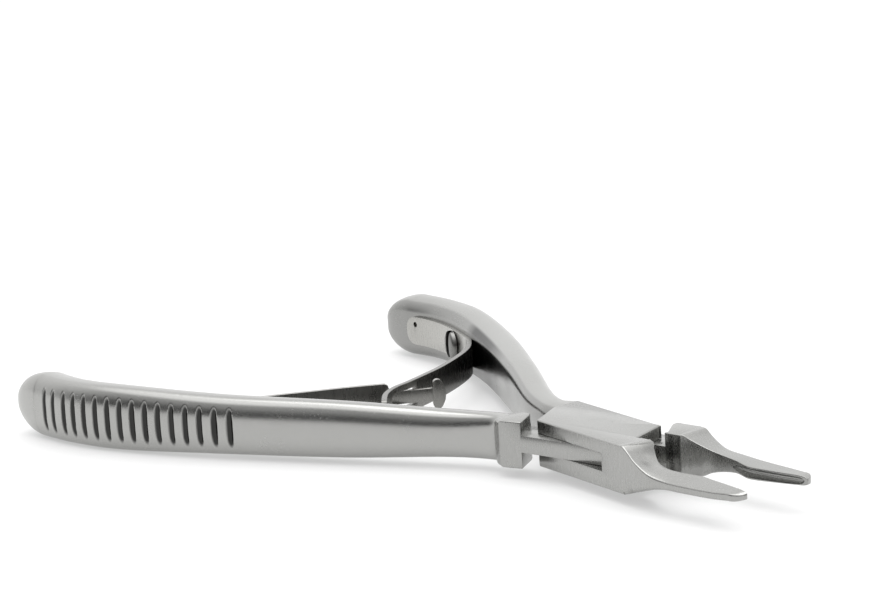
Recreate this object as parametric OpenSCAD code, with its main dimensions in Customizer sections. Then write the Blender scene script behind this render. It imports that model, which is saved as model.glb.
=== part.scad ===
// Spring-handled box-joint nippers with slim cupped jaws, drawn slightly open.
// The origin is on the pivot axis, in the outer face of the lower cheek.
// +X points to the jaws, +Y to the half with the slot's handle, +Z up the pivot.

/* [Box joint] */
// Thickness across the two flat cheeks
box_t = 6.9; // [6.4:0.1:7.6]
// Width of the box across its sides
box_w = 11.2; // [10.6:0.1:11.6]
// Distance from the pivot to the shoulder where a jaw begins
box_reach = 14.6; // [14:0.1:15.6]
// Thickness of the tongue that passes through the box
tongue_t = 2.5; // [2:0.1:3]
// How far the tongue's middle lies above the middle of the box
tongue_rise = 0.22; // [0:0.02:0.4]
// Diameter of the pivot pin
pin_d = 4; // [3:0.1:5]

/* [Opening] */
// Angle that each half stands away from closed when the springs are relaxed
half_open = 7.7; // [4:0.1:8]

/* [Handles] */
// Distance from the pivot to the end of the handles
grip_reach = 99; // [96:1:104]
// Greatest distance of a handle's inner face from the closed centre line
grip_bow = 23.4; // [21:0.2:25]
// Width of a handle where it is widest, seen from above
grip_w = 6.6; // [6:0.1:7.4]
// Thickness of a handle where it is thickest
grip_t = 10; // [9:0.1:10.6]
// Number of serrations on the outside of each handle
serrations = 16; // [8:1:18]
// Depth of one serration
serration_depth = 0.45; // [0.35:0.05:0.6]

/* [Jaws] */
// Distance from the pivot to the tips of the jaws
jaw_reach = 38; // [36:0.5:40]
// Thickness of a jaw tip
tip_t = 1.45; // [1.3:0.05:1.7]
// Width of one jaw at its tip
tip_w = 1.85; // [1.6:0.05:2.2]
// Length of the cup in the inner face of each jaw
cup_len = 13.6; // [12:0.2:14]
// Half the height of the cup's mouth
cup_r = 0.7; // [0.5:0.01:0.72]
// Greatest depth of the cup
cup_depth = 1.45; // [1:0.05:1.5]

/* [Springs] */
// Thickness of a leaf spring
leaf_t = 0.8; // [0.6:0.05:1]
// Width of a leaf spring
leaf_w = 4.6; // [4:0.1:5.2]
// Head diameter of a spring screw
screw_head_d = 4.6; // [4:0.1:5]
// Shank diameter of a spring screw
screw_d = 2.2; // [2:0.1:2.6]

/* [Hidden] */
$fn = 64;

steel = [0.72, 0.72, 0.70];
spring_steel = [0.62, 0.62, 0.59];
screw_steel = [0.55, 0.55, 0.52];

half_t = box_t / 2;
side = box_w / 2;
running_gap = 0.03;      // round the pin, and above and below the tongue
face_gap = 0.3;          // from each half's flat faces to the closed centre line
rim_gap = 0.06;          // from each jaw's rim to the closed centre line
slot_r = 10.4;           // the box is bored to this radius round the pivot
tongue_r = slot_r - 0.12;
tongue_z = tongue_rise - tongue_t / 2;
slot_t = tongue_t + 2 * running_gap;
over = 0.5;              // how far a cutter runs past a face

// ---------------------------------------------------------------- curves

// Point at parameter t on a smooth curve through all of the points p
function blend4(a, b, c, d, f) =
    0.5 * (2 * b + (c - a) * f + (2 * a - 5 * b + 4 * c - d) * f * f
           + (3 * b - a - 3 * c + d) * f * f * f);
function curve_at(p, t) =
    let (last = len(p) - 1,
         k = min(floor(t), last - 1),
         a = p[max(k - 1, 0)],
         d = p[min(k + 2, last)])
    blend4(a, p[k], p[k + 1], d, t - k);
function curve(p, steps) =
    [for (i = [0 : (len(p) - 1) * steps]) curve_at(p, i / steps)];
function unit(v) = v / norm(v);
function left_of(v) = [-v[1], v[0]];
function heading(p, i) =
    unit([for (k = [0, 1]) p[min(i + 1, len(p) - 1)][k] - p[max(i - 1, 0)][k]]);

// Solid through a row of rings that all have the same number of points
module loft(rings) {
    n = len(rings[0]);
    last = len(rings) - 1;
    sides = [for (r = [0 : last - 1], i = [0 : n - 1])
        let (a = r * n + i, b = r * n + (i + 1) % n)
        each [[a, b, b + n], [a, b + n, a + n]]];
    near_end = [for (i = [1 : n - 2]) [0, i + 1, i]];
    far_end = [for (i = [1 : n - 2]) [last * n, last * n + i, last * n + i + 1]];
    polyhedron(points = [for (ring = rings) each ring],
               faces = concat(sides, near_end, far_end));
}

// ---------------------------------------------------------------- handles

// Stations of a handle with its half closed: distance back from the pivot and
// distance of the flat inner face from the centre line, then the width and the
// crest height, all as fractions of the driving sizes, and last how square the
// outer side is, from 0 for a half ellipse to 1 for a nearly square one
grip_stations = [
    [0.132, 0.013, 0.83, 0.684, 0.8],
    [0.147, 0.014, 0.82, 0.680, 0.7],
    [0.182, 0.036, 0.66, 0.675, 0.3],
    [0.263, 0.136, 0.72, 0.70, 0.12],
    [0.415, 0.395, 0.785, 0.836, 0.1],
    [0.602, 0.685, 0.885, 0.885, 0.12],
    [0.765, 0.882, 0.896, 0.978, 0.14],
    [0.860, 0.924, 0.918, 0.972, 0.14],
    [0.930, 0.876, 0.995, 0.985, 0.12]];
grip_steps = 4;
cap_len = 7;
cap_rings = 6;
section_points = 18;
crest_share = 0.55;      // where the bar's crest lies, as a share of its width
flat_cut = 0.587;        // where the flat cuts the inner half ellipse

grip_rows = [for (s = grip_stations)
    [-s[0] * grip_reach, s[1] * grip_bow, s[2] * grip_w, s[3] * grip_t / 2, s[4]]];
grip_line = curve(grip_rows, grip_steps);

// Ring of a rounded bar with a flat ground on its inner side, standing across
// the line at row p with the outward direction out
function swell(x, power) = sign(x) * pow(abs(x), power);
function bar_ring(p, out, wide = 1, high = 1) =
    let (c = crest_share * p[2],
         turn = acos(-flat_cut))
    [for (i = [0 : section_points])
        let (t = i * 2 * turn / section_points - turn,
             outer = cos(t) > 0,
             power = outer ? 1 / (1 + 3 * p[4]) : 1,
             half = outer ? p[2] - c : c / flat_cut,
             across = c + half * swell(cos(t), power) * wide,
             up = p[3] * swell(sin(t), power) * high)
        [p[0] + out[0] * across, p[1] + out[1] * across, up]];

grip_out = [for (i = [0 : len(grip_line) - 1]) -left_of(heading(grip_line, i))];
grip_last = len(grip_line) - 1;
grip_end = grip_line[grip_last];
grip_ahead = heading(grip_line, grip_last);

grip_body_rings = [for (i = [0 : grip_last])
    bar_ring(grip_line[i], grip_out[i])];
grip_cap_rings = [for (k = [1 : cap_rings])
    let (a = k * 86 / cap_rings,
         ahead = cap_len * sin(a))
    bar_ring(grip_end + [grip_ahead[0] * ahead, grip_ahead[1] * ahead, 0, 0, 0],
             grip_out[grip_last], pow(cos(a), 0.4), cos(a))];

// Point on the inner face and outward direction at fraction f of the reach
function grip_index(f) =
    [for (i = [0 : grip_last - 1])
        if (-grip_line[i][0] <= f * grip_reach && -grip_line[i + 1][0] > f * grip_reach) i][0];
function grip_place(f) =
    let (i = grip_index(f),
         a = grip_line[i],
         b = grip_line[i + 1],
         k = (-f * grip_reach - a[0]) / (b[0] - a[0]))
    a + (b - a) * k;
function grip_normal(f) =
    let (i = grip_index(f))
    -left_of(unit([for (k = [0, 1]) grip_line[i + 1][k] - grip_line[i][k]]));

serration_r = 0.56;
serration_first = 0.579;
serration_span = 0.32;
serration_crowding = 0.13;  // how much closer together they are towards the end

module serration_cutter(f) {
    row = grip_place(f);
    out = grip_normal(f);
    reach = row[2] - serration_depth + serration_r;
    translate([row[0] + out[0] * reach, row[1] + out[1] * reach, -grip_t / 2])
        cylinder(h = grip_t, r = serration_r, $fn = 24);
}

// The handle of a half whose handle lies on the +Y side
module handle() {
    difference() {
        loft(concat(grip_body_rings, grip_cap_rings));
        for (i = [0 : serrations - 1])
            let (t = i / (serrations - 1))
                serration_cutter(serration_first
                    + serration_span * t * (1 + serration_crowding * (1 - t)));
        spring_screw_hole();
    }
}

// ---------------------------------------------------------------- jaws

// Stations of a jaw with its half closed: distance ahead of the pivot, inner
// face, outer side, top at the inner face, top at the outer side, underside
shoulder = box_reach + 0.2;
far_jaw_stations = [
    [shoulder - 1.4, face_gap, side + 0.2, half_t, half_t, -half_t],
    [shoulder, face_gap, side + 0.2, half_t, half_t, -half_t],
    [shoulder + 0.6, 0.5, side + 0.1, half_t - 0.05, half_t - 0.15, 0.1 - half_t],
    [shoulder + 1.5, 0.8, side, 2.9, 2.6, -2.9],
    [shoulder + 3.2, 1.2, side - 0.5, 2.15, 1.85, -2.25],
    [shoulder + 5.6, 1.5, side - 1.2, 1.4, 1.25, -1.5],
    [jaw_reach - 13.7, 1.0, side - 1.8, 0.93, 1.0, -0.98],
    [jaw_reach - 10.2, rim_gap, side - 2.4, 0.62, 0.85, -1.22],
    [jaw_reach - 5, rim_gap, side - 3.1, 0.58, 0.7, -1.04],
    [jaw_reach - 1.4, rim_gap, tip_w + 0.1, tip_t - 0.85, tip_t - 0.85, -0.87]];
near_jaw_stations = [
    [shoulder - 1.4, face_gap + 0.1, side - 0.32, half_t, half_t, -half_t],
    [shoulder, face_gap + 0.1, side - 0.31, half_t, half_t, -half_t],
    [shoulder + 1.1, 0.7, side - 0.28, 1.6, 2.7, -3.0],
    [shoulder + 2.6, 1.1, side - 0.28, 0.9, 1.75, -2.5],
    [shoulder + 5.4, 1.5, side - 0.5, 0.7, 0.5, -1.75],
    [jaw_reach - 14.8, 1.3, side - 1.2, 0.7, -0.1, -1.35],
    [jaw_reach - 11.0, rim_gap, side - 1.92, 0.57, -0.18, -1.31],
    [jaw_reach - 6, rim_gap, side - 2.8, 0.53, -0.1, -1.17],
    [jaw_reach - 2.3, rim_gap, tip_w + 0.1, tip_t - 0.95, 0.1, -0.98]];
jaw_steps = 4;
tip_rings = 4;
tip_len = 1.4;

// Ring of a jaw: flat inside, level on top and bottom, with softened edges
function jaw_ring(s, shrink = 1) =
    let (inner = max(s[1], rim_gap),
         mid_z = (s[3] + s[5]) / 2,
         soft = min(0.35, 0.3 * (s[4] - s[5])))
    [for (q = [[inner, s[5]], [inner, s[3]],
               [s[2] * 0.5 + inner * 0.5, (s[3] + s[4]) / 2],
               [s[2] - soft * 0.5, s[4]],
               [s[2], s[4] - soft * 0.6],
               [s[2], s[5] + soft * 1.4],
               [s[2] - soft * 1.6, s[5]]])
        [s[0], inner + (q[0] - inner) * shrink, mid_z + (q[1] - mid_z) * (0.4 + 0.6 * shrink)]];

function tip_row(stations, k) =
    let (s = stations[len(stations) - 1],
         a = k * 84 / tip_rings)
    [s[0] + tip_len * sin(a), s[1], s[2], s[3], s[4], s[5], cos(a)];

// Stations of the cup, as shares: of its length, of the half height and of the
// depth, and then how high its middle lies
cup_stations = [[0, 0.05, 0.85, -0.1], [0.04, 0.6, 1, -0.14], [0.14, 0.92, 1, -0.22],
                [0.32, 1, 0.83, -0.28], [0.64, 0.91, 0.66, -0.26], [0.86, 0.8, 0.55, -0.2],
                [0.96, 0.6, 0.41, -0.16], [1, 0.05, 0.04, -0.16]];
cup_points = 20;

module cup_cutter(end) {
    rim_wall = 0.55;
    loft([for (s = curve(cup_stations, 2))
        [for (i = [0 : cup_points - 1])
            let (a = i * 360 / cup_points)
            [end - rim_wall + (s[0] - 1) * cup_len, s[2] * cup_depth * cos(a),
             s[3] - s[1] * cup_r * sin(a)]]]);
}

// The jaw of a half whose jaw lies on the +Y side
module jaw(stations) {
    body = [for (s = curve(stations, jaw_steps)) jaw_ring(s)];
    tip = [for (k = [1 : tip_rings]) let (s = tip_row(stations, k)) jaw_ring(s, s[6])];
    difference() {
        loft(concat(body, tip));
        cup_cutter(stations[len(stations) - 1][0] + tip_len);
    }
}

// ---------------------------------------------------------------- box joint

// Corners of the box's flat faces, anticlockwise from the near left one; both
// ends are slanted, to clear the other half's shoulder blocks
box_outline = [[-7.85, 0.1 - side], [box_reach - 0.3, 0.27 - side], [shoulder, -face_gap],
               [12.1, -face_gap], [8.6, side], [0.4 - box_reach, side - 0.3],
               [-12.95, face_gap]];
// Everything on one side of the pivot that a tongue sweeps on its way out
module slot_outline() {
    circle(r = slot_r, $fn = 96);
    for (turn = [0, 180])
        rotate(turn)
            translate([0, -face_gap])
                square([2 * box_reach, box_w]);
}

// The upper cheek stops short of the lower one at its slanted jaw end
module cheek_step() {
    across = 1.1;
    run = [8.6 - 12.1, side + face_gap];
    translate([12.1, -face_gap, 0])
        rotate([0, 0, atan2(run[1], run[0])])
            translate([0, -1, 0])
                cube([norm(run) + over, across + 1, box_t]);
}

module box_body() {
    difference() {
        translate([0, 0, -half_t])
            linear_extrude(box_t) polygon(box_outline);
        cheek_step();
        translate([0, 0, tongue_z - running_gap])
            linear_extrude(slot_t) slot_outline();
    }
}

// Shoulder block of the half that carries the tongue, on its handle side
block_outline = [[-9.95, side + 0.1], [-13.6, side + 0.9], [-15.2, side + 0.1],
                 [-15.2, face_gap], [-13.1, face_gap], [-12.4, face_gap + 0.9]];
// Shoulder block on the tongue's jaw side
base_outline = [[9.65, side + 0.35], [box_reach - 0.3, side + 0.35], [shoulder, face_gap],
                [12.6, face_gap], [9.65, side - 0.8]];

module tongue_outline() {
    intersection() {
        circle(r = tongue_r, $fn = 96);
        square([3 * box_reach, box_w - 0.5], center = true);
    }
    // Necks from the tongue out to its two shoulder blocks
    for (turn = [0, 180])
        rotate(turn)
            polygon([[0, 0.05], [0, side - 0.3], [-9.95, side + 0.1], [-13.2, side + 0.5],
                     [-13.2, 0.35]]);
}

module tongue_body() {
    translate([0, 0, tongue_z])
        linear_extrude(tongue_t) tongue_outline();
}

module cheek_bore() {
    translate([0, 0, -half_t - over])
        cylinder(h = box_t + 2 * over, d = pin_d);
}

module tongue_bore() {
    translate([0, 0, -half_t - over])
        cylinder(h = box_t + 2 * over, d = pin_d + 2 * running_gap);
}

// ---------------------------------------------------------------- springs

screw_place = 0.757;     // where the spring screw sits, as a share of the reach
screw_depth = 4;
screw_head_t = 1.1;
seat_gap = 0.02;

// Puts a part that points along +X onto the inner face, facing the centre line
module on_inner_face(f) {
    row = grip_place(f);
    out = grip_normal(f);
    translate([row[0], row[1], 0])
        rotate([0, 0, atan2(-out[1], -out[0])])
            rotate([0, 90, 0])
                children();
}

module spring_screw_hole() {
    on_inner_face(screw_place)
        translate([0, 0, -screw_depth])
            cylinder(h = screw_depth + over, d = screw_d, $fn = 32);
}

// Slotted screw, upright, with the leaf gripped just above z = 0
module spring_screw() {
    head_z = leaf_t + 5 * seat_gap;
    slot_w = 1.5;
    slot_d = 0.8;
    difference() {
        union() {
            translate([0, 0, -screw_depth])
                cylinder(h = screw_depth + head_z + 0.1, d = screw_d, $fn = 32);
            translate([0, 0, head_z])
                cylinder(h = screw_head_t, d = screw_head_d, $fn = 48);
        }
        translate([-screw_head_d, -slot_w / 2, head_z + screw_head_t - slot_d])
            cube([2 * screw_head_d, slot_w, 2 * slot_d]);
    }
}

// Free part of each leaf in the open tool: from the inner face of its handle
// across to the other leaf, as seen from above
far_leaf_path = [[-62.4, 25.4], [-60.3, 23.6], [-58.1, 21.1], [-55.7, 17.7],
                 [-53.4, 14.0], [-51.6, 10.8], [-50.2, 7.8], [-48.9, 4.9],
                 [-47.6, 1.9], [-46.3, -1.5], [-43.9, -4.9], [-40.0, -8.2]];
near_leaf_path = [[-62.4, -25.4], [-60.5, -23.5], [-59.0, -21.2], [-57.6, -18.0],
                  [-56.1, -14.6], [-54.6, -11.4], [-52.9, -7.6], [-51.1, -4.0],
                  [-48.4, 0.8], [-46.4, 4.6], [-45.1, 7.2]];

// Base of a leaf, along the inner face from its free end to where it leaves
base_from = 0.92;
base_to = 0.68;
base_steps = 12;
function base_point(f) =
    let (row = grip_place(f), out = grip_normal(f))
    [row[0], row[1]] - out * (seat_gap + leaf_t / 2);
base_path = [for (i = [0 : base_steps]) base_point(base_from + (base_to - base_from) * i / base_steps)];

function turned(p, a) = [p[0] * cos(a) - p[1] * sin(a), p[0] * sin(a) + p[1] * cos(a)];

module strip(path) {
    n = len(path) - 1;
    sides = [for (i = [0 : n]) left_of(heading(path, i)) * leaf_t / 2];
    polygon(concat([for (i = [0 : n]) path[i] + sides[i]],
                   [for (i = [0 : n]) path[n - i] - sides[n - i]]));
}

leaf_steps = 3;
far_centre = concat([for (p = base_path) turned(p, -half_open)], curve(far_leaf_path, leaf_steps));
near_centre = concat([for (p = base_path) turned([p[0], -p[1]], half_open)],
                     curve(near_leaf_path, leaf_steps));

module leaf(centre) {
    translate([0, 0, -leaf_w / 2])
        linear_extrude(leaf_w) strip(centre);
}

module screw_clearance() {
    on_inner_face(screw_place)
        translate([0, 0, -over])
            cylinder(h = leaf_t + 2 * over, d = screw_d + 0.1, $fn = 32);
}

window_w = 2.6;
tail_w = 2.0;

// ---------------------------------------------------------------- sub-parts

module lifted() {
    translate([0, 0, half_t]) children();
}

// Places a half that is drawn closed, with its handle on +Y, as the open tool
module far_side() {
    lifted() rotate([0, 0, -half_open]) children();
}
module near_side() {
    lifted() rotate([0, 0, half_open]) mirror([0, 1, 0]) children();
}

// Half with the slotted box: far handle, box and near jaw
module slotted_half() {
    color(steel)
        far_side()
            difference() {
                union() {
                    box_body();
                    handle();
                    mirror([0, 1, 0]) jaw(near_jaw_stations);
                }
                cheek_bore();
            }
}

// Half with the tongue: near handle, tongue through the box and far jaw
module tongue_half() {
    color(steel)
        near_side()
            difference() {
                union() {
                    tongue_body();
                    handle();
                    translate([0, 0, -half_t])
                        linear_extrude(box_t) polygon(block_outline);
                    mirror([0, 1, 0]) {
                        translate([0, 0, -half_t])
                            linear_extrude(box_t) polygon(base_outline);
                        jaw(far_jaw_stations);
                    }
                }
                tongue_bore();
            }
}

// Pivot pin, riveted and ground flush with both cheeks
module pivot_pin() {
    color(steel)
        cylinder(h = box_t, d = pin_d);
}

// Leaf spring with the window, on the slotted half's handle
module far_spring() {
    color(spring_steel)
        lifted()
            difference() {
                leaf(far_centre);
                rotate([0, 0, -half_open]) screw_clearance();
                translate([-53, -3.4, -window_w / 2])
                    cube([10, 7.2, window_w]);
            }
}

// Leaf spring with the hooked tail, on the tongue half's handle
module near_spring() {
    color(spring_steel)
        lifted()
            difference() {
                leaf(near_centre);
                rotate([0, 0, half_open]) mirror([0, 1, 0]) screw_clearance();
                for (up = [tail_w / 2, -tail_w / 2 - leaf_w])
                    translate([-52, -0.6, up])
                        cube([8, 6.1, leaf_w]);
            }
}

module far_spring_screw() {
    color(screw_steel)
        far_side() on_inner_face(screw_place) spring_screw();
}

module near_spring_screw() {
    color(screw_steel)
        near_side() on_inner_face(screw_place) spring_screw();
}

slotted_half();
tongue_half();
pivot_pin();
far_spring();
near_spring();
far_spring_screw();
near_spring_screw();
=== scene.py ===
import math

import bmesh
import bpy
import numpy as np
from mathutils import Matrix, Vector


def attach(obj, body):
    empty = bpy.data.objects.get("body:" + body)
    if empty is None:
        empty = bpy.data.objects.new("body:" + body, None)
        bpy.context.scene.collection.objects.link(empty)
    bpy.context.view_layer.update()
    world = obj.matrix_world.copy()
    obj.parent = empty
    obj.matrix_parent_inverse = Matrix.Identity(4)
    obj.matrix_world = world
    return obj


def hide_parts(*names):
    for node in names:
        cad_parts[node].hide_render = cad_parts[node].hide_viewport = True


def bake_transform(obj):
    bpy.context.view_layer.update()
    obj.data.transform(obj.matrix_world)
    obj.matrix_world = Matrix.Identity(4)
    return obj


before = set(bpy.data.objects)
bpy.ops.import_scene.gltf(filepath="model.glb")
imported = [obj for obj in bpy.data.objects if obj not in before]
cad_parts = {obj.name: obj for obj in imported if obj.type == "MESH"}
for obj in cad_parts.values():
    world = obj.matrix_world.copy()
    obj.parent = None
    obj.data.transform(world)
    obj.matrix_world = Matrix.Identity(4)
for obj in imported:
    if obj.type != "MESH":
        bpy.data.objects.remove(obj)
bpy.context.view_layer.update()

MM = 0.001
HALF_T = 3.45


# ------------------------------------------------------------------ materials

def new_material(name):
    m = bpy.data.materials.new(name)
    m.use_nodes = True
    nt = m.node_tree
    nt.nodes.clear()
    out = nt.nodes.new("ShaderNodeOutputMaterial")
    b = nt.nodes.new("ShaderNodeBsdfPrincipled")
    nt.links.new(b.outputs[0], out.inputs[0])
    return m, nt, b


def coords(nt, scale, rot=(0, 0, 0)):
    tc = nt.nodes.new("ShaderNodeTexCoord")
    mp = nt.nodes.new("ShaderNodeMapping")
    mp.inputs["Scale"].default_value = scale
    mp.inputs["Rotation"].default_value = rot
    nt.links.new(tc.outputs["Object"], mp.inputs["Vector"])
    return mp.outputs[0]


def noise(nt, vec, scale, detail=4, rough=0.6):
    n = nt.nodes.new("ShaderNodeTexNoise")
    n.inputs["Scale"].default_value = scale
    n.inputs["Detail"].default_value = detail
    n.inputs["Roughness"].default_value = rough
    nt.links.new(vec, n.inputs["Vector"])
    return n.outputs["Fac"]


def ramp(nt, fac, low, high, a=0.3, b=0.7):
    r = nt.nodes.new("ShaderNodeMapRange")
    r.inputs["From Min"].default_value = a
    r.inputs["From Max"].default_value = b
    r.inputs["To Min"].default_value = low
    r.inputs["To Max"].default_value = high
    nt.links.new(fac, r.inputs["Value"])
    return r.outputs[0]


def steel(name, base, rough, brush_scale, brush=0.05, bump=0.015, rot=(0, 0, 0), spread=0.06, strength=0.35):
    """Satin stainless: brushing as long thin noise, with a soft unevenness over it. A point attribute paints shade into
    the colour, darkening it towards a tenth.
    """
    m, nt, b = new_material(name)
    line = noise(nt, coords(nt, brush_scale, rot), 1000, 3, 0.65)
    blotch = noise(nt, coords(nt, (1, 1, 1)), 160, 4, 0.6)
    mix = nt.nodes.new("ShaderNodeMix")
    mix.data_type = "RGBA"
    mix.inputs["A"].default_value = [c * (1 - spread) for c in base] + [1]
    mix.inputs["B"].default_value = [min(1, c * (1 + spread)) for c in base] + [1]
    nt.links.new(ramp(nt, line, 0, 1), mix.inputs["Factor"])
    # Painted shade: a point attribute darkens the colour towards a tenth in grooves, slots, gaps and on shaded faces.
    painted_shade = nt.nodes.new("ShaderNodeAttribute")
    painted_shade.attribute_name = "painted_shade"
    dark = nt.nodes.new("ShaderNodeMix")
    dark.data_type = "RGBA"
    dark.inputs["B"].default_value = [c * 0.1 for c in base] + [1]
    nt.links.new(mix.outputs["Result"], dark.inputs["A"])
    nt.links.new(painted_shade.outputs["Fac"], dark.inputs["Factor"])
    nt.links.new(dark.outputs["Result"], b.inputs["Base Color"])
    add = nt.nodes.new("ShaderNodeMath")
    add.operation = "ADD"
    nt.links.new(ramp(nt, line, rough - brush, rough + brush), add.inputs[0])
    nt.links.new(ramp(nt, blotch, -0.03, 0.03), add.inputs[1])
    nt.links.new(add.outputs[0], b.inputs["Roughness"])
    b.inputs["Metallic"].default_value = 1.0
    bp = nt.nodes.new("ShaderNodeBump")
    bp.inputs["Strength"].default_value = strength
    bp.inputs["Distance"].default_value = bump * MM
    nt.links.new(line, bp.inputs["Height"])
    nt.links.new(bp.outputs[0], b.inputs["Normal"])
    return m


half_steel = steel("half_steel", (0.375, 0.375, 0.364), 0.25, (3.4, 3.4, 0.7), 0.04, 0.010, spread=0.05, strength=0.3)
grip_steel = steel("grip_steel", (0.40, 0.40, 0.388), 0.24, (1.1, 4.0, 4.0), 0.03, 0.006, spread=0.03, strength=0.16)
spring_steel = steel("spring_steel", (0.42, 0.415, 0.395), 0.28, (3.2, 3.2, 0.5), 0.04, 0.008, strength=0.25)
# The screw's steel is painted about half as bright as the other steels, standing in for the shade over its head.
screw_steel = steel("screw_steel", (0.20, 0.20, 0.193), 0.3, (2, 2, 2), strength=0.15)

# ------------------------------------------------------------------ the driving sizes, in millimetres

BOX_T, BOX_W, BOX_REACH = 6.9, 11.2, 14.6
TONGUE_T, TONGUE_RISE, PIN_D = 2.5, 0.22, 4.0
HALF_OPEN = 7.7
GRIP_REACH, GRIP_BOW, GRIP_W, GRIP_T = 99.0, 23.4, 6.6, 10.0
SERRATIONS, SERRATION_DEPTH, SERRATION_R = 16, 0.45, 0.56
JAW_REACH, TIP_T, TIP_W, CUP_LEN, CUP_R, CUP_DEPTH = 38.0, 1.45, 1.85, 13.6, 0.7, 1.45
LEAF_T, LEAF_W, SEAT_GAP = 0.8, 4.6, 0.02
SCREW_PLACE, SCREW_HEAD_T, SCREW_HEAD_D, SCREW_D, SCREW_DEPTH = 0.757, 1.1, 4.6, 2.2, 4.0
SIDE = BOX_W / 2
SHOULDER = BOX_REACH + 0.2
FACE_GAP, RIM_GAP, TIP_LEN = 0.3, 0.06, 2.0
SLOT_R, TONGUE_R = 10.4, 10.28

# ------------------------------------------------------------------ helpers


def spline(points, ts):
    """Smooth curve through all the points, at the parameters ts."""
    p = np.array(points, float)
    last = len(p) - 1
    out = []
    for t in ts:
        k = min(int(math.floor(t)), last - 1)
        f = t - k
        a, b, c, d = p[max(k - 1, 0)], p[k], p[k + 1], p[min(k + 2, last)]
        out.append(0.5 * (2 * b + (c - a) * f + (2 * a - 5 * b + 4 * c - d) * f * f
                          + (3 * b - a - 3 * c + d) * f ** 3))
    return np.array(out)


def turn_z(v, degrees):
    a = math.radians(degrees)
    c, s = math.cos(a), math.sin(a)
    x, y = v[:, 0].copy(), v[:, 1].copy()
    v = v.copy()
    v[:, 0], v[:, 1] = x * c - y * s, x * s + y * c
    return v


def slotted_place(v):
    """From the closed half with its handle on +Y, in mm, to the row frame."""
    return (turn_z(np.array(v, float), -HALF_OPEN) + [0, 0, HALF_T]) * MM


def tongue_place(v):
    return (turn_z(np.array(v, float) * [1, -1, 1], HALF_OPEN) + [0, 0, HALF_T]) * MM


def open_place(v):
    return (np.array(v, float) + [0, 0, HALF_T]) * MM


def mesh_object(name, verts, faces):
    me = bpy.data.meshes.new(name)
    me.from_pydata([tuple(v) for v in verts], [], [tuple(f) for f in faces])
    me.validate()
    o = bpy.data.objects.new(name, me)
    bpy.context.scene.collection.objects.link(o)
    return o


def outward(o):
    bm = bmesh.new()
    bm.from_mesh(o.data)
    bmesh.ops.recalc_face_normals(bm, faces=bm.faces)
    bm.to_mesh(o.data)
    bm.free()


def place(o, how):
    co = np.empty(len(o.data.vertices) * 3)
    o.data.vertices.foreach_get("co", co)
    o.data.vertices.foreach_set("co", how(co.reshape(-1, 3)).ravel())
    o.data.update()
    outward(o)
    return o


def smooth(o, degrees=30):
    """Smooth shading, with edges sharper than degrees kept."""
    bm = bmesh.new()
    bm.from_mesh(o.data)
    for f in bm.faces:
        f.smooth = True
    limit = math.radians(degrees)
    for e in bm.edges:
        e.smooth = len(e.link_faces) == 2 and e.calc_face_angle(0) < limit
    bm.to_mesh(o.data)
    bm.free()
    return o


def loft(name, rings):
    """Closed solid through rings with the same number of points."""
    n, m = len(rings), len(rings[0])
    verts = np.concatenate([np.array(r, float) for r in rings])
    faces = [(i * m + j, i * m + (j + 1) % m, (i + 1) * m + (j + 1) % m, (i + 1) * m + j)
             for i in range(n - 1) for j in range(m)]
    faces.append(tuple(range(m - 1, -1, -1)))
    faces.append(tuple((n - 1) * m + j for j in range(m)))
    return mesh_object(name, verts, faces)


def prism(name, outline, z0, z1):
    n = len(outline)
    verts = [(x, y, z0) for x, y in outline] + [(x, y, z1) for x, y in outline]
    faces = [tuple(range(n - 1, -1, -1)), tuple(range(n, 2 * n))]
    faces += [(i, (i + 1) % n, n + (i + 1) % n, n + i) for i in range(n)]
    o = mesh_object(name, verts, faces)
    outward(o)
    return o


def disc(r, n=96):
    return [(r * math.cos(2 * math.pi * i / n), r * math.sin(2 * math.pi * i / n)) for i in range(n)]


def apply(o):
    bpy.context.view_layer.update()
    made = bpy.data.meshes.new_from_object(o.evaluated_get(bpy.context.evaluated_depsgraph_get()))
    o.modifiers.clear()
    o.data = made
    return o


def combine(o, other, how="DIFFERENCE"):
    m = o.modifiers.new("bool", "BOOLEAN")
    m.operation = how
    m.solver = "EXACT"
    m.object = other
    apply(o)
    bpy.data.objects.remove(other)
    return o


def soften(o, width, segments=3, degrees=30, weight=lambda p: 1.0, clamp=True):
    """Rounds the edges sharper than degrees. weight(point) is the share of width at a point, or 0 to leave it sharp."""
    bm = bmesh.new()
    bm.from_mesh(o.data)
    bmesh.ops.remove_doubles(bm, verts=bm.verts, dist=1e-5)
    bmesh.ops.dissolve_limit(bm, angle_limit=math.radians(0.2), verts=bm.verts, edges=bm.edges)
    layer = bm.edges.layers.float.get("bevel_weight_edge") or bm.edges.layers.float.new("bevel_weight_edge")
    for e in bm.edges:
        sharp = len(e.link_faces) == 2 and e.calc_face_angle(0) > math.radians(degrees)
        a, b = e.verts[0].co, e.verts[1].co
        e[layer] = max(weight(a), weight(b)) if sharp else 0.0
    bm.to_mesh(o.data)
    bm.free()
    m = o.modifiers.new("bevel", "BEVEL")
    m.limit_method = "WEIGHT"
    m.width = width
    m.segments = segments
    m.harden_normals = False
    m.use_clamp_overlap = clamp
    m.miter_outer = "MITER_ARC"
    return apply(o)


def rounded_ring(corners, radii, steps=5):
    """Polygon with its corners rounded, as the same number of points for any corners."""
    c = [np.array(p, float) for p in corners]
    n = len(c)
    out = []
    for i in range(n):
        a, p, b = c[i - 1], c[i], c[(i + 1) % n]
        r = min(radii[i], 0.45 * np.linalg.norm(a - p), 0.45 * np.linalg.norm(b - p))
        s = p + (a - p) / max(np.linalg.norm(a - p), 1e-9) * r
        e = p + (b - p) / max(np.linalg.norm(b - p), 1e-9) * r
        for k in range(steps + 1):
            t = k / steps
            out.append((1 - t) ** 2 * s + 2 * t * (1 - t) * p + t * t * e)
    return out


# ------------------------------------------------------------------ handles

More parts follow.
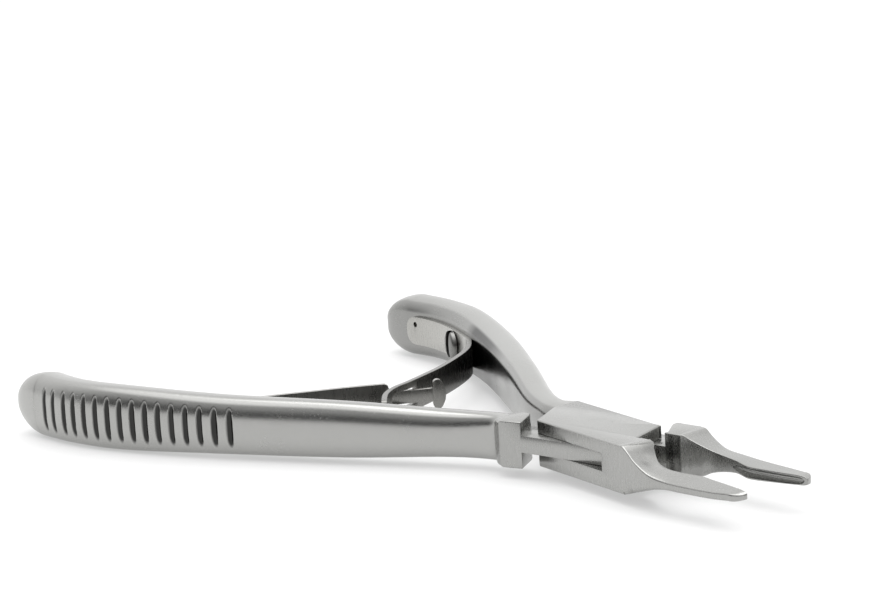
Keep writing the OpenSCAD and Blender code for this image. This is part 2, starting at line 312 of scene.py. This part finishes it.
GRIP_STATIONS = [
    (0.132, 0.013, 0.83, 0.684, 0.8), (0.147, 0.014, 0.82, 0.680, 0.7), (0.182, 0.036, 0.66, 0.675, 0.3),
    (0.263, 0.136, 0.72, 0.70, 0.12), (0.415, 0.395, 0.785, 0.836, 0.1), (0.602, 0.685, 0.885, 0.885, 0.12),
    (0.765, 0.882, 0.896, 0.978, 0.14), (0.860, 0.924, 0.918, 0.972, 0.14), (0.930, 0.876, 0.995, 0.985, 0.12)]
GRIP_ROWS = [(-s[0] * GRIP_REACH, s[1] * GRIP_BOW, s[2] * GRIP_W, s[3] * GRIP_T / 2, s[4])
             for s in GRIP_STATIONS]
CAP_LEN, CREST_SHARE, FLAT_CUT = 7.0, 0.55, 0.587
_t = np.linspace(0, len(GRIP_ROWS) - 1, 4001)
_rows = spline(GRIP_ROWS, _t)


def grip_t_at(f):
    return float(np.interp(f * GRIP_REACH, -_rows[:, 0], _t))


def grip_at(t):
    """Row at parameter t and the outward direction there."""
    a, b = spline(GRIP_ROWS, [max(t - 0.01, 0), min(t + 0.01, len(GRIP_ROWS) - 1)])
    d = (b - a)[:2]
    d = d / np.linalg.norm(d)
    return spline(GRIP_ROWS, [t])[0], np.array([d[1], -d[0]]), d


def bar_section(row, wide=1.0, high=1.0, n=72, corner=4):
    c = CREST_SHARE * row[2]
    turn = math.acos(-FLAT_CUT)
    pts = []
    for i in range(n + 1):
        t = i * 2 * turn / n - turn
        cs, sn = math.cos(t), math.sin(t)
        power, half = (1 / (1 + 3 * max(row[4], 0)), row[2] - c) if cs > 0 else (1.0, c / FLAT_CUT)
        pts.append(np.array([c + half * math.copysign(abs(cs) ** power, cs) * wide,
                             row[3] * math.copysign(abs(sn) ** power, sn) * high]))
    first, last = pts[0], pts[-1]
    r = min(np.linalg.norm(pts[corner] - first), 0.45 * np.linalg.norm(last - first))
    flat = (last - first) / max(np.linalg.norm(last - first), 1e-9)
    start = [(1 - t) ** 2 * (first + flat * r) + 2 * t * (1 - t) * first + t * t * pts[corner]
             for t in np.linspace(0, 1, 6)[:-1]]
    end = [(1 - t) ** 2 * pts[-1 - corner] + 2 * t * (1 - t) * last + t * t * (last - flat * r)
           for t in np.linspace(0, 1, 6)[1:]]
    return start + pts[corner:-corner] + end


def make_handle(name, how):
    first = grip_t_at(0.575 - 0.01)
    end = grip_t_at(0.905 + 0.01)
    last = len(GRIP_ROWS) - 1
    ts = np.concatenate([np.linspace(0, first, 110)[:-1], np.linspace(first, end, 400)[:-1],
                         np.linspace(end, last, 30)])
    grooves = []
    for i in range(SERRATIONS):
        t = i / (SERRATIONS - 1)
        f = 0.579 + 0.32 * t * (1 + 0.13 * (1 - t))
        row, out, _ = grip_at(grip_t_at(f))
        grooves.append(row[:2] + out * (row[2] - SERRATION_DEPTH + SERRATION_R))
    grooves = np.array(grooves)
    rings = []
    painted_shade = []

    def ring(row, out, ahead, lead=0.0, wide=1.0, high=1.0):
        made = []
        section = bar_section(row, wide, high)
        for k, q in enumerate(section):
            p = row[:2] + ahead * lead + out * q[0]
            cut = 0.0
            if lead == 0:
                d = p - grooves
                along = d @ out
                perp2 = (d ** 2).sum(1) - along ** 2
                hit = perp2 < SERRATION_R ** 2
                if hit.any():
                    h = np.sqrt(SERRATION_R ** 2 - perp2[hit])
                    over = np.maximum(along[hit] + h, 0).max()
                    if over < 2:
                        p = p - out * over
                        cut = over
            # Painted shade: darker in the serration grooves, darker by 0.3 on the inner flat faces, and nearly black on
            # the inner face in the gap behind the leaf.
            share = -row[0] / GRIP_REACH
            flat = 1.0 if k < 5 or k >= len(section) - 5 else 0.0
            gap = max(0.0, min(1.0, (share - 0.46) / 0.1)) * max(0.0, min(1.0, (0.71 - share) / 0.04))
            painted_shade.append(max(min(1.0, cut / (0.45 * SERRATION_DEPTH)), flat * (0.3 + 0.65 * gap)))
            made.append((p[0], p[1], q[1]))
        rings.append(made)

    for t in ts:
        row, out, ahead = grip_at(t)
        ring(row, out, ahead)
    row, out, ahead = grip_at(last)
    for a in np.radians(np.linspace(0, 89, 18)[1:]):
        ring(row, out, ahead, CAP_LEN * math.sin(a), math.cos(a) ** 0.4, math.cos(a))
    o = loft(name, rings)
    layer = o.data.attributes.new("painted_shade", "FLOAT", "POINT")
    layer.data.foreach_set("value", painted_shade)
    return smooth(place(o, how), 40)


# ------------------------------------------------------------------ jaws

FAR_JAW = [
    (SHOULDER - 2.6, FACE_GAP, SIDE + 0.34, 3.44, 3.44, -3.44),
    (SHOULDER - 1.0, FACE_GAP, SIDE + 0.3, 3.44, 3.44, -3.44),
    (SHOULDER, FACE_GAP, SIDE + 0.2, 3.43, 3.43, -3.44),
    (SHOULDER + 0.6, 0.5, SIDE + 0.1, 3.4, 3.3, -3.35),
    (SHOULDER + 1.5, 0.8, SIDE, 2.9, 2.6, -2.9),
    (SHOULDER + 3.2, 1.2, SIDE - 0.5, 2.15, 1.85, -2.25),
    (SHOULDER + 5.6, 1.5, SIDE - 1.2, 1.4, 1.25, -1.5),
    (JAW_REACH - 13.7, 1.0, SIDE - 1.8, 0.93, 1.0, -0.98),
    (JAW_REACH - 10.2, RIM_GAP, SIDE - 2.4, 0.62, 0.85, -1.22),
    (JAW_REACH - 5, RIM_GAP, SIDE - 3.1, 0.58, 0.7, -1.04),
    (JAW_REACH - TIP_LEN, RIM_GAP, TIP_W + 0.25, TIP_T - 0.85, TIP_T - 0.85, -0.88)]
NEAR_JAW = [
    (SHOULDER - 2.3, FACE_GAP + 0.04, SIDE - 0.285, 3.43, 3.43, -3.43),
    (SHOULDER - 1.4, FACE_GAP - 0.005, SIDE - 0.255, 3.456, 3.456, -3.456),
    (SHOULDER - 0.4, FACE_GAP + 0.05, SIDE - 0.262, 3.4, 3.456, -3.452),
    (SHOULDER + 1.1, 0.7, SIDE - 0.27, 1.6, 2.7, -3.0),
    (SHOULDER + 2.6, 1.1, SIDE - 0.28, 0.9, 1.75, -2.5),
    (SHOULDER + 5.4, 1.5, SIDE - 0.5, 0.7, 0.5, -1.75),
    (JAW_REACH - 14.8, 1.3, SIDE - 1.2, 0.7, -0.1, -1.35),
    (JAW_REACH - 11.0, RIM_GAP, SIDE - 1.92, 0.57, -0.18, -1.31),
    (JAW_REACH - 6, RIM_GAP, SIDE - 2.8, 0.53, -0.1, -1.17),
    (JAW_REACH - 0.9 - TIP_LEN, RIM_GAP, TIP_W + 0.25, TIP_T - 0.95, 0.1, -0.98)]
# Stations of the cup: shares of its length, of its half height and of its depth, and how high its middle lies
CUP = [(0, 0.05, 0.85, -0.1), (0.04, 0.6, 1, -0.14), (0.14, 0.92, 1, -0.22), (0.32, 1, 0.83, -0.28),
       (0.64, 0.91, 0.66, -0.26), (0.86, 0.8, 0.55, -0.2), (0.96, 0.6, 0.41, -0.16), (1, 0.05, 0.04, -0.16)]


def jaw_section(s, sag, shrink=1.0):
    x, v0, v1, zi, zo, zb = s
    v0 = max(v0, RIM_GAP)
    mid = (zi + zb) / 2
    drop = sag * (zo - zi) * 0.5 if zo > zi else 0.0
    soft = min(0.35, 0.3 * (zo - zb))
    corners = [(v0, zb), (v0, zi), ((v0 + v1) / 2, (zi + zo) / 2 - drop), (v1, zo), (v1, zb)]
    under = 1.3 * max(0.0, 1 - abs(x - SHOULDER - 1.2) / 1.6) if v1 < SIDE else 0.0
    ring = rounded_ring(corners, (0.22, 0.12, 0.8, max(0.16, soft * 0.75), max(soft * 1.8, under)))
    return [(x, v0 + (q[0] - v0) * shrink, mid + (q[1] - mid) * (0.4 + 0.6 * shrink)) for q in ring]


def make_jaw(name, stations, how, sag):
    n = len(stations)
    rings = [jaw_section(s, sag) for s in spline(stations, np.linspace(0, n - 1, (n - 1) * 14 + 1))]
    for a in np.radians(np.linspace(0, 87, 12)[1:]):
        s = np.array(stations[-1], float)
        s[0] += TIP_LEN * math.sin(a)
        rings.append(jaw_section(s, sag, math.cos(a)))
    o = loft(name, rings)
    outward(o)
    end = stations[-1][0] + TIP_LEN - 0.55
    cup = loft("cup", [[(end + (q[0] - 1) * CUP_LEN, q[2] * CUP_DEPTH * math.cos(b),
                         q[3] + q[1] * CUP_R * math.sin(b)) for b in np.linspace(0, 2 * math.pi, 41)[:-1]]
                       for q in spline(CUP, np.linspace(0, len(CUP) - 1, 60))])
    outward(cup)
    combine(o, cup)
    for v in o.data.vertices:
        v.co.y = -v.co.y
    return smooth(place(o, how), 35)


# ------------------------------------------------------------------ the slotted half

BOX_OUTLINE = [(-7.85, 0.1 - SIDE), (SHOULDER - 0.5, 0.27 - SIDE), (SHOULDER, -FACE_GAP), (12.1, -FACE_GAP),
               (8.6, SIDE), (0.4 - BOX_REACH, SIDE - 0.3), (-12.95, FACE_GAP)]
BLOCK_OUTLINE = [(-9.95, SIDE + 0.1), (-13.6, SIDE + 0.9), (-15.2, SIDE + 0.1),
                 (-15.2, FACE_GAP), (-13.1, FACE_GAP), (-12.4, FACE_GAP + 0.9)]
BASE_OUTLINE = [(9.65, SIDE + 0.35), (BOX_REACH - 0.3, SIDE + 0.35), (SHOULDER, FACE_GAP),
                (12.6, FACE_GAP), (9.65, SIDE - 0.8)]
TONGUE_Z = TONGUE_RISE - TONGUE_T / 2


def turned(points, degrees):
    a = math.radians(degrees)
    return [(x * math.cos(a) - y * math.sin(a), x * math.sin(a) + y * math.cos(a)) for x, y in points]


def make_box():
    o = prism("slotted_box", BOX_OUTLINE, -HALF_T, HALF_T)
    z0, z1 = TONGUE_Z - 0.03, TONGUE_Z + TONGUE_T + 0.03
    combine(o, prism("cut", disc(SLOT_R), z0, z1))
    square = [(0, -FACE_GAP), (2 * BOX_REACH, -FACE_GAP), (2 * BOX_REACH, BOX_W), (0, BOX_W)]
    for turn in (0, 180):
        combine(o, prism("cut", turned(square, turn), z0, z1))
    run = np.array([8.6 - 12.1, SIDE + FACE_GAP])
    length = np.linalg.norm(run)
    run /= length
    inward = np.array([-run[1], run[0]])
    section = [(1.1, -HALF_T), (1.1, 1.0), (-1, 1.0), (-1, -HALF_T)]
    verts = []
    for along in (0.0, length + 0.5):
        for inn, up in section:
            p = np.array([12.1, -FACE_GAP]) + run * along + inward * inn
            verts.append((p[0], p[1], HALF_T + up))
    cut = mesh_object("cut", verts, [(0, 1, 2, 3), (7, 6, 5, 4), (0, 4, 5, 1), (1, 5, 6, 2), (2, 6, 7, 3), (3, 7, 4, 0)])
    outward(cut)
    combine(o, cut)
    combine(o, prism("cut", disc(PIN_D / 2 + 0.01, 64), -HALF_T - 1, HALF_T + 1))
    def weight(p):
        in_bore = p.x * p.x + p.y * p.y < 2.2 ** 2
        at_jaw = p.x > SHOULDER - 0.7 and p.y < 0
        return 0.0 if in_bore or at_jaw else 1.0 if abs(p.z) > 3 else 0.45
    soften(o, 0.24, 3, 30, weight, False)
    return smooth(place(o, slotted_place), 35)


def make_block(name, outline, mirror):
    pts = [(x, -y) for x, y in outline] if mirror else outline
    o = prism(name, pts, -HALF_T, HALF_T)
    soften(o, 0.6, 4, 30, lambda p: 1.0 if p.x < -14 else 0.36)
    return smooth(place(o, tongue_place), 35)


def make_tongue():
    z0, z1 = TONGUE_Z, TONGUE_Z + TONGUE_T
    o = prism("tongue_plate", disc(TONGUE_R), z0, z1)
    w = BOX_W / 2 - 0.25
    combine(o, prism("keep", [(-44, -w), (44, -w), (44, w), (-44, w)], z0 - 1, z1 + 1), "INTERSECT")
    neck = [(0, 0.05), (0, SIDE - 0.3), (-9.95, SIDE + 0.1), (-13.2, SIDE + 0.5), (-13.2, 0.35)]
    for turn in (0, 180):
        combine(o, prism("neck", turned(neck, turn), z0, z1), "UNION")
    combine(o, prism("cut", disc(PIN_D / 2 + 0.03, 64), -HALF_T - 1, HALF_T + 1))
    soften(o, 0.08, 2, 40)
    return smooth(place(o, tongue_place), 35)


# ------------------------------------------------------------------ the springs

FAR_PATH = [(-62.4, 25.4), (-60.3, 23.6), (-58.1, 21.1), (-55.7, 17.7), (-53.4, 14.0), (-51.6, 10.8),
            (-50.2, 7.8), (-48.9, 4.9), (-47.6, 1.9), (-46.3, -1.5), (-43.9, -4.9), (-40.0, -8.2)]
NEAR_PATH = [(-62.4, -25.4), (-60.5, -23.5), (-59.0, -21.2), (-57.6, -18.0), (-56.1, -14.6), (-54.6, -11.4),
             (-52.9, -7.6), (-51.1, -4.0), (-48.4, 0.8), (-46.4, 4.6), (-45.1, 7.2)]
BASE_FROM, BASE_TO = 0.92, 0.68


def base_path(side):
    """The gripped part's centre line in the open tool; side is 1 for the far leaf and -1 for the near one."""
    made = []
    for f in np.linspace(BASE_FROM, BASE_TO, 13):
        row, out, _ = grip_at(grip_t_at(f))
        p = row[:2] - out * (SEAT_GAP + LEAF_T / 2)
        made.append((p[0], p[1] * side, 0))
    return turn_z(np.array(made), -HALF_OPEN * side)[:, :2]


def corner(cx, cy, r, start, stop, n=8):
    return [(cx + r * math.cos(math.radians(a)), cy + r * math.sin(math.radians(a)))
            for a in np.linspace(start, stop, n)]


def make_leaf(name, side, path):
    line = np.concatenate([base_path(side), np.array(path, float)])
    fine = spline(line, np.linspace(0, len(line) - 1, 1600))
    s = np.concatenate([[0], np.cumsum(np.linalg.norm(np.diff(fine, axis=0), axis=1))])
    total = s[-1]
    tangent = np.gradient(fine, s, axis=0)
    tangent /= np.linalg.norm(tangent, axis=1)[:, None]
    for _ in range(60):
        tangent[1:-1] = (tangent[:-2] + tangent[1:-1] + tangent[2:]) / 3
    tangent /= np.linalg.norm(tangent, axis=1)[:, None]
    row, _, _ = grip_at(grip_t_at(SCREW_PLACE))
    screw_xy = turn_z(np.array([(row[0], row[1] * side, 0)]), -HALF_OPEN * side)[0, :2]
    screw_s = s[np.argmin(np.linalg.norm(fine - screw_xy, axis=1))]
    leave = s[np.argmin(np.linalg.norm(fine - line[13], axis=1))]
    free = s > leave + 15

    def at_y(y):
        return s[free][np.argmin(np.abs(fine[free, 1] - y))]

    w = LEAF_W / 2
    outline = corner(1.9, -w + 1.9, 1.9, 180, 270)
    if side > 0:
        outline += corner(total - 0.7, -w + 0.7, 0.7, 270, 360) + corner(total - 0.7, w - 0.7, 0.7, 0, 90)
    else:
        neck, head = at_y(-0.6), at_y(5.4)
        upper = [(total, 0), (total - 0.12, 0.9), (total - 0.45, 1.65)] + corner(head + 0.75, w - 0.75, 0.75, 40, 180, 10)
        upper += corner(head - 0.3, 1.3, 0.3, 0, -90, 4) + corner(neck + 1.0, 2.0, 1.0, 270, 180, 6) + [(neck - 0.5, w)]
        outline += [(x, -y) for x, y in reversed(upper[1:])] + upper
    outline += corner(1.9, w - 1.9, 1.9, 90, 180)
    o = prism(name, outline, -LEAF_T / 2, LEAF_T / 2)
    if side > 0:
        a, b, h = at_y(3.8), at_y(-3.4), 1.3
        hole = (corner(a + 0.6, -h + 0.6, 0.6, 180, 270, 6) + corner(b - 0.6, -h + 0.6, 0.6, 270, 360, 6)
                + corner(b - 0.6, h - 0.6, 0.6, 0, 90, 6) + corner(a + 0.6, h - 0.6, 0.6, 90, 180, 6))
        combine(o, prism("window", hole, -1, 1))
    ring = disc(SCREW_D / 2 + 0.05, 48)
    combine(o, prism("hole", [(x + screw_s, y) for x, y in ring], -1, 1))
    combine(o, prism("dot", [(x * 0.38 + 2.1, y * 0.38 + 1.05) for x, y in ring], -1, 1))
    soften(o, 0.14, 3, 40)
    bm = bmesh.new()
    bm.from_mesh(o.data)
    for x in np.arange(0.4, total, 0.4):
        bmesh.ops.bisect_plane(bm, geom=bm.verts[:] + bm.edges[:] + bm.faces[:], dist=1e-5,
                               plane_co=(x, 0, 0), plane_no=(1, 0, 0))
    bm.to_mesh(o.data)
    bm.free()
    co = np.array([v.co for v in o.data.vertices])
    where = np.clip(co[:, 0], 0, total)
    p = np.stack([np.interp(where, s, fine[:, k]) for k in (0, 1)], 1)
    t = np.stack([np.interp(where, s, tangent[:, k]) for k in (0, 1)], 1)
    t /= np.linalg.norm(t, axis=1)[:, None]
    bent = np.stack([p[:, 0] - t[:, 1] * co[:, 2], p[:, 1] + t[:, 0] * co[:, 2], co[:, 1]], 1)
    # Painted shade: the leaf's broad faces are darkened by about half from where the leaf leaves the handle.
    shade = 0.52 * np.clip((where - leave + 4) / 6, 0, 1) * (np.abs(co[:, 2]) > LEAF_T / 2 - 0.02)
    layer = o.data.attributes.new("painted_shade", "FLOAT", "POINT")
    layer.data.foreach_set("value", shade)
    o.data.vertices.foreach_set("co", open_place(bent).ravel())
    o.data.update()
    outward(o)
    return smooth(o, 30)


def make_screw(name, how):
    """Slotted screw with a low domed head, drawn upright with the inner face at z = 0."""
    z0 = LEAF_T + 5 * SEAT_GAP
    r = SCREW_HEAD_D / 2
    profile = [(SCREW_D / 2, -SCREW_DEPTH), (SCREW_D / 2, z0 - 0.02), (r - 0.15, z0), (r, z0 + 0.12), (r, z0 + 0.62),
               (r - 0.1, z0 + 0.78), (r - 0.4, z0 + 0.92), (r - 1.0, z0 + 1.04), (r - 1.7, z0 + 1.09),
               (0.02, z0 + SCREW_HEAD_T)]
    o = loft(name, [[(q * math.cos(a), q * math.sin(a), z) for a in np.linspace(0, 2 * math.pi, 65)[:-1]]
                    for q, z in profile])
    outward(o)
    combine(o, prism("slot", [(-4, -0.75), (4, -0.75), (4, 0.75), (-4, 0.75)], z0 + SCREW_HEAD_T - 0.8, z0 + 3))
    # Painted shade in the screw's slot, darker towards its floor.
    depth = [min(1.0, max(0.0, (z0 + SCREW_HEAD_T - 0.45 - v.co.z) * 5)) if abs(v.co.y) < 0.77 and v.co.z > z0 + 0.2
             else 0.0 for v in o.data.vertices]
    layer = o.data.attributes.new("painted_shade", "FLOAT", "POINT")
    layer.data.foreach_set("value", depth)
    row, out, ahead = grip_at(grip_t_at(SCREW_PLACE))

    def local(v):
        flat = row[:2] + np.outer(v[:, 1], ahead) - np.outer(v[:, 2], out)
        return how(np.stack([flat[:, 0], flat[:, 1], -v[:, 0]], 1))

    return smooth(place(o, local), 35)


# ------------------------------------------------------------------ the pieces

PIECES = [
    ("slotted", "slotted_half", "half_steel", half_steel, [
        make_box(), make_jaw("slotted_jaw", NEAR_JAW, slotted_place, 0.35)]),
    ("slotted", "slotted_half", "half_steel", grip_steel, [make_handle("slotted_handle", slotted_place)]),
    ("tongue", "tongue_half", "half_steel", half_steel, [
        make_block("tongue_block", BLOCK_OUTLINE, False), make_block("tongue_base", BASE_OUTLINE, True),
        make_tongue(), make_jaw("tongue_jaw", FAR_JAW, tongue_place, 0.0)]),
    ("tongue", "tongue_half", "half_steel", grip_steel, [make_handle("tongue_handle", tongue_place)]),
    ("slotted", "far_spring_screw", "screw_steel", screw_steel, [make_screw("far_screw", slotted_place)]),
    ("tongue", "near_spring_screw", "screw_steel", screw_steel, [make_screw("near_screw", tongue_place)])]
for body, node, slot, material, made in PIECES:
    for o in made:
        o.data.materials.clear()
        o.data.materials.append(material)
        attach(o, body)
        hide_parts(node)

for name, side, path, body, leaf_body in (("far", 1, FAR_PATH, "slotted", "far_leaf"),
                                          ("near", -1, NEAR_PATH, "tongue", "near_leaf")):
    o = make_leaf(name + "_leaf_plate", side, path)
    o.data.materials.clear()
    o.data.materials.append(spring_steel)
    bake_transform(o)
    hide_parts(name + "_spring")

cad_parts["pivot_pin"].data.materials.clear()
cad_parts["pivot_pin"].data.materials.append(half_steel)

# ------------------------------------------------------------------ stage, lights and camera
K = 0.8645 * MM          # metres per unit of the fitted camera
ELEV = math.radians(11.387)
ROLL = math.radians(3.458)
TURN = math.radians(-53.079)
R0 = Vector((1, 0, 0))
U0 = Vector((0, math.sin(ELEV), math.cos(ELEV)))
AHEAD = Vector((0, math.cos(ELEV), -math.sin(ELEV)))
RIGHT = math.cos(ROLL) * R0 - math.sin(ROLL) * U0
UP = math.sin(ROLL) * R0 + math.cos(ROLL) * U0
SPOT = -26.733 * RIGHT + 24.003 * UP - 648.95 * AHEAD
to_row = Matrix.Rotation(-TURN, 3, "Z")


def row_dir(v):
    return (to_row @ v).normalized()


cam = bpy.data.cameras.new("camera")
cam.sensor_width = 36
cam.lens = 3953.6 / 874 * 36
cam.clip_start = 0.01
cam.clip_end = 20
camera = bpy.data.objects.new("camera", cam)
bpy.context.scene.collection.objects.link(camera)
r, u, f = row_dir(RIGHT), row_dir(UP), row_dir(AHEAD)
place = to_row @ SPOT * K + Vector((0, 0, HALF_T * MM))
camera.matrix_world = Matrix((
    (r.x, u.x, -f.x, place.x), (r.y, u.y, -f.y, place.y), (r.z, u.z, -f.z, place.z), (0, 0, 0, 1)))
bpy.context.scene.camera = camera

flat_f = Vector((f.x, f.y, 0)).normalized()
flat_r = Vector((r.x, r.y, 0)).normalized()

floor_z = -1.62 * MM
bpy.ops.mesh.primitive_plane_add(size=6, location=(0, 0, floor_z))
floor = bpy.context.object
floor.name = "floor"
fm, fnt, fb = new_material("floor_white")
fb.inputs["Base Color"].default_value = (0.44, 0.44, 0.44, 1)
fb.inputs["Emission Color"].default_value = (1, 1, 1, 1)
fb.inputs["Emission Strength"].default_value = 0.42
fb.inputs["Roughness"].default_value = 0.6
fb.inputs["Specular IOR Level"].default_value = 0.2
floor.data.materials.append(fm)

world = bpy.data.worlds.new("world")
bpy.context.scene.world = world
world.use_nodes = True
wnt = world.node_tree
bg = wnt.nodes["Background"]
bg.inputs["Strength"].default_value = 1.0


def world_math(op, a, b=0.0):
    n = wnt.nodes.new("ShaderNodeMath")
    n.operation = op
    for i, v in enumerate((a, b)):
        if isinstance(v, float):
            n.inputs[i].default_value = v
        else:
            wnt.links.new(v, n.inputs[i])
    return n.outputs[0]


def world_range(v, a, b, low, high):
    n = wnt.nodes.new("ShaderNodeMapRange")
    n.interpolation_type = "SMOOTHSTEP"
    for key, x in (("From Min", a), ("From Max", b), ("To Min", low), ("To Max", high)):
        n.inputs[key].default_value = x
    wnt.links.new(v, n.inputs["Value"])
    return n.outputs[0]


def world_along(direction):
    n = wnt.nodes.new("ShaderNodeVectorMath")
    n.operation = "DOT_PRODUCT"
    wnt.links.new(wnt.nodes["Texture Coordinate"].outputs["Generated"], n.inputs[0])
    n.inputs[1].default_value = direction
    return n.outputs["Value"]


# A white tent: dark towards the front, bright behind and overhead
wnt.nodes.new("ShaderNodeTexCoord")
up = world_along((0, 0, 1))
behind = world_range(world_along(flat_f), -0.4, 0.7, 0.0, 1.0)
front = world_math("MULTIPLY", world_range(up, 0.08, 0.6, 0.06, 0.55), world_math("SUBTRACT", 1.0, behind))
low = world_math("ADD", front, world_math("MULTIPLY", behind, 1.15))
high = world_range(up, 0.68, 0.84, 0.0, 1.0)
keep = world_math("SUBTRACT", 1.0, high)
glow = world_math("ADD", world_math("MULTIPLY", low, keep), world_math("MULTIPLY", high, 1.75))
wnt.links.new(glow, bg.inputs["Color"])


def area(name, at, look, size, power, size_y=None, glossy=True):
    l = bpy.data.lights.new(name, "AREA")
    l.energy = power
    l.shape = "RECTANGLE"
    l.size = size
    l.size_y = size_y or size
    o = bpy.data.objects.new(name, l)
    bpy.context.scene.collection.objects.link(o)
    o.location = at
    o.rotation_euler = (Vector(look) - Vector(at)).to_track_quat("-Z", "Y").to_euler()
    o.visible_glossy = glossy
    return o


mid = Vector((-0.03, 0, 0))
area("key_above", mid + Vector((0, 0, 0.7)) + 0.1 * flat_f, mid, 0.5, 1.2, 0.5)
area("fill_front", mid + Vector((0, 0, 0.6)) - 0.6 * flat_f, mid, 1.2, 3.2, 1.2, glossy=False)
area("fill_back", mid + Vector((0, 0, 0.6)) + 0.5 * flat_f, mid, 1.2, 1.0, 1.2, glossy=False)

bpy.context.scene.view_settings.view_transform = "Standard"
